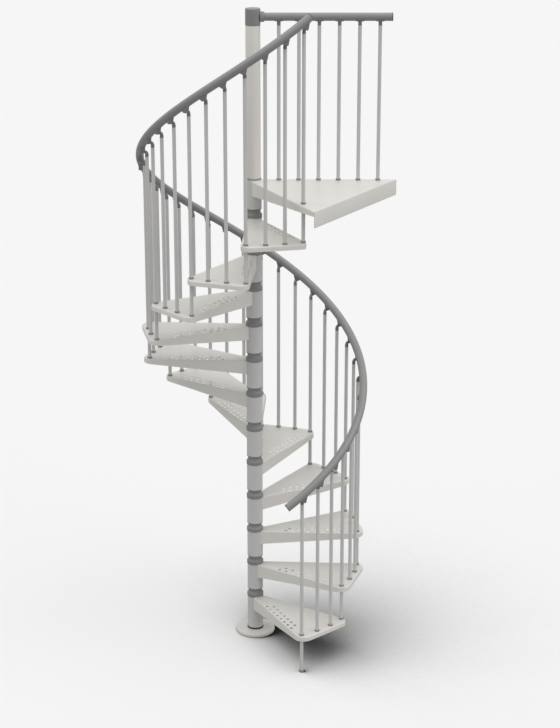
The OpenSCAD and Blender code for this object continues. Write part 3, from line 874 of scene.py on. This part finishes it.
def stock(name, paths, radius, sides, finish):
    """Round stock along each path, a list of points."""
    points, edges = [], []
    for path in paths:
        edges += [(len(points) + i, len(points) + i + 1) for i in range(len(path) - 1)]
        points += [tuple(p) for p in path]
    mesh = bpy.data.meshes.new(name)
    mesh.from_pydata(points, edges, [])
    obj = shaped(new_object(name, mesh), round_stock, {"Radius": radius, "Sides": sides, "Finish": finish})
    crease(obj.data)
    return obj


print("round stock:", len(round_stock.nodes), "nodes")

# %% [markdown]
# ## Handrail
# The handrail climbs evenly, one bar's spacing of turn for each bar, so its centre line is a true helix.
# Its height over the steps grows a little towards the landing.

# %% Handrail
RAIL_OUT = 0.023
RAIL_CIRCLE = BAR_CIRCLE + RAIL_OUT
RAIL_LOW = FIRST_RISE + 0.835
RAIL_TOP = landing_top + 0.920
CLIMB = (RAIL_TOP - RAIL_LOW) / (STEPS * TURN)
SLOPE = atan(degrees(CLIMB) / RAIL_CIRCLE)
RAIL_FROM, RAIL_TO = START - 9, LAST + 2
RAIL_SIDES = 40


def round_at(r, direction, z):
    return Vector((r * cos(radians(direction)), r * sin(radians(direction)), z))


def helix(direction):
    """Point of the handrail's centre line in a direction."""
    return round_at(RAIL_CIRCLE, direction, RAIL_LOW + (direction - START) * CLIMB)


SLICES = 370
rail_line = [helix(RAIL_FROM + (RAIL_TO - RAIL_FROM) * i / SLICES) for i in range(SLICES + 1)]
settle(stock("spiral_handrail", [rail_line], RAIL_R, RAIL_SIDES, rail_grey), "rail_plastic", "handrail")
print("slope", round(degrees(SLOPE), 2), "degrees")

# %% [markdown]
# ## Balusters
# Three bars belong to each step.
# The corner bar stands on the step below and passes through its own step's front corner.
# Every bar ends at the neck of the bracket that carries the handrail.

# %% Balusters
BARS = 3
BAR_R = 0.0095
BAR_SIDES = 32
NECK_H = 0.015
BEND_R = 0.013
ELBOW_R = 0.00825
ELBOW_CLEAR = 0.007
SINK = 0.0015
ELBOW_H = NECK_H - SINK + BEND_R
NECK_DROP = ELBOW_H + RAIL_R / cos(SLOPE) + ELBOW_R + ELBOW_CLEAR
LAST_BAR = STEPS * BARS
FOOT_T = 0.003


def bar_direction(j):
    return START + j * TURN / BARS


def bar_foot(j):
    if j == 0:
        return FOOT_T
    return step_top(j // BARS) if j % BARS == 0 else step_top(j // BARS + 1)


def neck_foot(j):
    return helix(bar_direction(j)).z - NECK_DROP


def bar_line(j):
    return [round_at(BAR_CIRCLE, bar_direction(j), z) for z in (bar_foot(j), neck_foot(j))]


for k in range(1, STEPS + 1):
    lines = [bar_line((k - 1) * BARS + i) for i in range(BARS)]
    settle(stock(f"bars_{k:02d}", lines, BAR_R, BAR_SIDES, tube_coat), "paint", f"balusters_{k:02d}")
corner_bar = stock("landing_corner_bar", [bar_line(LAST_BAR)], BAR_R, BAR_SIDES, tube_coat)
settle(corner_bar, "paint", "landing_front_baluster")

# %% [markdown]
# ## Ferrules and screws
# A small moulded ring covers the joint at each bar's foot, and a dark screw end comes through below the step's rim.
# Both are turned once and set out at every bar.

# %% Ferrules
FERRULE_R = 0.013
FERRULE_H = 0.009
FOOT_H = 0.012
bore = BAR_R + CLEAR
profile = [(bore, 0), (FERRULE_R, 0), (FERRULE_R, FERRULE_H - 0.001), (bore + 0.002, FERRULE_H), (bore, FERRULE_H)]
ferrule = turned_mesh("ferrule", soften(profile, 0.0014, 2), ferrule_grey, sides=32)
marks = [(j, step_top(j // BARS + 1)) for j in range(LAST_BAR + 1)]
marks += [(k * BARS, step_top(k)) for k in range(1, STEPS + 1)]
marks = [(round_at(BAR_CIRCLE, bar_direction(j), z), bar_direction(j)) for j, z in marks]
settle(set_out("bar_ferrules", ferrule.copy(), marks, ferrule_grey), "dark_plastic", "ferrules")

profile = [(0, 0), (FERRULE_R, 0), (FERRULE_R, FOOT_H), (bore, FOOT_H), (bore, FOOT_T), (0, FOOT_T)]
at = Matrix.Translation(round_at(BAR_CIRCLE, START, 0))
profile = soften(profile, 0.0012, 3, closed=False)
foot = turned("first_bar_foot", profile, ferrule_grey, closed=False, sides=40, places=[at])
settle(foot, "dark_plastic", "baluster_foot")

# %% Screw ends below the steps
SCREW_L = 0.0285
TIP_L = 0.004
TIP_R, SCREW_R = 0.0045, 0.0065
profile = [(0, -SCREW_L), (TIP_R, -SCREW_L), (TIP_R, TIP_L - SCREW_L), (SCREW_R, TIP_L - SCREW_L),
           (SCREW_R, -SHEET), (0, -SHEET)]
screw = turned_mesh("screw_end", soften(profile, 0.0008, 2, closed=False), clip_grey, closed=False, sides=24)
marks = []
for k in range(1, STEPS + 1):
    for i in range(1, BARS + 1):
        direction = bar_direction((k - 1) * BARS + i)
        marks.append((round_at(BAR_CIRCLE, direction, step_top(k)), direction))
settle(set_out("bar_screws", screw, marks, clip_grey), "dark_plastic")

# %% [markdown]
# ## Handrail brackets
# On each bar sits a moulded neck that bends out through a quarter turn into a wedge below the sloping rail.
# Neck, elbow and wedge are modelled once, with local X outwards and local Y uphill, and set out at all the bars.

# %% Neck and elbow
NECK_R = 0.0095


def neck(height):
    """A bmesh with the round neck that takes a bar's top."""
    bm = bmesh.new()
    profile = [(0, 0), (NECK_R, 0), (NECK_R, height), (0, height)]
    turn(bm, soften(profile, 0.0009, 3, closed=False), closed=False, sides=32)
    return bm


bm = neck(NECK_H)
rings = []
sides, bends = 24, 12
for i in range(bends + 1):
    a = radians(90) * i / bends
    middle = Vector((BEND_R * (1 - cos(a)), 0, NECK_H - SINK + BEND_R * sin(a)))
    across, flat = Vector((cos(a), 0, -sin(a))), Vector((0, 1, 0))
    ring = [middle + ELBOW_R * (across * cos(b) + flat * sin(b)) for b in full_turn(sides)]
    rings.append([bm.verts.new(p) for p in ring])
tube_faces(bm, rings)
neck_and_elbow = bpy.data.meshes.new("neck_and_elbow")
bm.to_mesh(neck_and_elbow)
bm.free()
print("neck and elbow:", len(neck_and_elbow.polygons), "faces")

# %% [markdown]
# ## Bracket's wedge
# The wedge's top follows the rail's round underside and the helix, so it stays shut on the rail.
# A grid of points is laid on that curved face, and walls run from its border down to a shorter flat base.

# %% Wedge
BACK, AHEAD, HEEL, TOE = 0.022, 0.015, 0.007, 0.007
WEDGE_W = 0.024
BITE = 0.0004


def grid_faces(bm, grid, rows, columns):
    return [bm.faces.new((grid[i, c], grid[i, c + 1], grid[i + 1, c + 1], grid[i + 1, c]))
            for i in range(rows - 1) for c in range(columns - 1)]


def grid_border(rows, columns):
    """The places along a grid's border, in order."""
    there = [(0, c) for c in range(columns)] + [(i, columns - 1) for i in range(1, rows)]
    back = [(rows - 1, c) for c in range(columns - 2, -1, -1)] + [(i, 0) for i in range(rows - 2, 0, -1)]
    return there + back


rows, columns = 9, 9
level = ELBOW_H - ELBOW_R + 0.002
bm = bmesh.new()
grid = {}
for i in range(rows):
    y = -BACK + (BACK + AHEAD) * i / (rows - 1)
    centre_x = RAIL_OUT - y * y / (2 * RAIL_CIRCLE)
    for c in range(columns):
        x = RAIL_OUT + WEDGE_W * (c / (columns - 1) - 0.5)
        hollow = sqrt(RAIL_R ** 2 - (x - centre_x) ** 2) - BITE
        grid[i, c] = bm.verts.new((x, y, NECK_DROP + y * tan(SLOPE) - hollow / cos(SLOPE)))
grid_faces(bm, grid, rows, columns)
border = grid_border(rows, columns)
squeeze = (HEEL + TOE) / (BACK + AHEAD)
base = {p: bm.verts.new((grid[p].co.x, (grid[p].co.y + BACK) * squeeze - HEEL, level)) for p in border}
for p, q in zip(border, border[1:] + border[:1]):
    bm.faces.new((grid[p], base[p], base[q], grid[q]))
bm.faces.new([base[p] for p in border])
bmesh.ops.recalc_face_normals(bm, faces=bm.faces)
wedge_mesh = bpy.data.meshes.new("wedge")
bm.to_mesh(wedge_mesh)
bm.free()
wedge = new_object("wedge", wedge_mesh)
soft_edge = wedge.modifiers.new("soft_edge", "BEVEL")
soft_edge.width = 0.0035
soft_edge.segments = 3
soft_edge.limit_method = "ANGLE"
soft_edge.angle_limit = radians(58)
plain(wedge)
print("wedge:", len(wedge.data.polygons), "faces")

# %% Brackets on all the bars
bm = bmesh.new()
bm.from_mesh(neck_and_elbow)
bm.from_mesh(wedge.data)
bpy.data.objects.remove(wedge)
bracket = mesh_from(bm, "bracket", clip_grey, 40)
marks = [(round_at(BAR_CIRCLE, bar_direction(j), neck_foot(j)), bar_direction(j)) for j in range(LAST_BAR + 1)]
settle(set_out("handrail_brackets", bracket, marks, clip_grey), "dark_plastic", "handrail_clips")

# %% [markdown]
# ## Landing rail
# A straight rail runs from a collar at the post's cap to a free end, over six bars with upright brackets.

# %% Landing rail and its bars
LANDING_BARS = 6
BAR_START = 0.133
BAR_PITCH = 0.104
LANDING_NECK_H = 0.022
RAIL_END = 0.718
END_CAP = 0.006
bar_x = [BAR_START + i * BAR_PITCH for i in range(LANDING_BARS)]
line = [(CAP_R + CLEAR, 0, rail_z), (RAIL_END - END_CAP, 0, rail_z)]
settle(stock("straight_rail", [line], RAIL_R, 64, rail_grey), "rail_plastic", "landing_rail")
neck_low = rail_z - RAIL_R - CLEAR - LANDING_NECK_H
lines = [[(x, 0, landing_top), (x, 0, neck_low)] for x in bar_x]
settle(stock("landing_bars", lines, BAR_R, BAR_SIDES, tube_coat), "paint", "landing_balusters")
marks = [((x, 0, landing_top), 0) for x in bar_x]
settle(set_out("landing_bar_ferrules", ferrule.copy(), marks, ferrule_grey), "dark_plastic", "landing_ferrules")

# %% Collar and end caps
COLLAR_R = 0.0265
COLLAR_FROM, COLLAR_TO = 0.0365, CAP_R + 0.019
sideways = Matrix.Translation((0, 0, rail_z)) @ Matrix.Rotation(radians(90), 4, "Y")
bore = RAIL_R + CLEAR
profile = [(bore, COLLAR_FROM), (COLLAR_R, COLLAR_FROM), (COLLAR_R, COLLAR_TO), (bore, COLLAR_TO)]
collar = turned("straight_rail_collar", soften(profile, 0.002, 4), ring_grey, sides=64, places=[sideways])
settle(collar, "rail_plastic", "landing_rail_collar")
CAP_LIP = RAIL_R + 0.0008
profile = soften([(0, 0), (CAP_LIP, 0), (CAP_LIP, END_CAP), (0, END_CAP)], 0.0022, 4, closed=False)
at = sideways @ Matrix.Translation((0, 0, RAIL_END - END_CAP))
end_cap = turned("straight_rail_end", profile, clip_grey, closed=False, places=[at])
settle(end_cap, "dark_plastic", "landing_rail_end_cap")


def rail_end(direction, tilt):
    """Where the flat end of the handrail lies, with Z out of the rail."""
    return (Matrix.Rotation(radians(direction), 4, "Z")
            @ Matrix.Translation((RAIL_CIRCLE, 0, helix(direction).z)) @ Matrix.Rotation(tilt, 4, "X"))


ends = [rail_end(RAIL_FROM, radians(90) + SLOPE), rail_end(RAIL_TO, SLOPE - radians(90))]
settle(turned("handrail_ends", profile, clip_grey, closed=False, places=ends), "dark_plastic", "handrail_end_caps")

# %% [markdown]
# ## Landing rail brackets
# Here the rail is level and right above the bars, so the neck rises straight into a saddle along the rail.
# The saddle is a skin on the rail's underside, thickest over the neck and thinner towards its ends and edges.

# %% Upright brackets
SADDLE_HALF = 0.022
SADDLE_T = 0.0032
FLARE_H, FLARE_HALF = 0.004, 0.017
WRAP = radians(55)
bm = neck(LANDING_NECK_H)
rows, columns = 13, 13
skins = []
for is_outer in (False, True):
    skin = {}
    for i in range(rows):
        y = SADDLE_HALF * (2 * i / (rows - 1) - 1)
        swell = SADDLE_T * (1 - 0.55 * abs(y / SADDLE_HALF) ** 2) + FLARE_H * max(0, 1 - abs(y) / FLARE_HALF) ** 2
        for c in range(columns):
            a = WRAP * (2 * c / (columns - 1) - 1)
            r = RAIL_R + (swell * (1 - 0.5 * abs(a / WRAP) ** 3) if is_outer else -BITE)
            skin[i, c] = bm.verts.new((y, r * sin(a), LANDING_NECK_H + RAIL_R + CLEAR - r * cos(a)))
    skins.append(skin)
made = []
for skin in skins:
    made += grid_faces(bm, skin, rows, columns)
border = grid_border(rows, columns)
for p, q in zip(border, border[1:] + border[:1]):
    made.append(bm.faces.new((skins[0][p], skins[0][q], skins[1][q], skins[1][p])))
bmesh.ops.recalc_face_normals(bm, faces=made)
saddle = mesh_from(bm, "upright_bracket", clip_grey, 50)
marks = [((x, 0, neck_low), 0) for x in bar_x]
settle(set_out("straight_rail_brackets", saddle, marks, clip_grey), "dark_plastic", "landing_rail_clips")

# %% [markdown]
# ## Hidden pole
# The bar inside the column stays as it is in the solids, and only takes a zinc-plated finish.

# %% Pole
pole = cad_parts["centre_pole"]
pole.data.materials.clear()
pole.data.materials.append(zinc)
print("pole finished in", zinc.name)
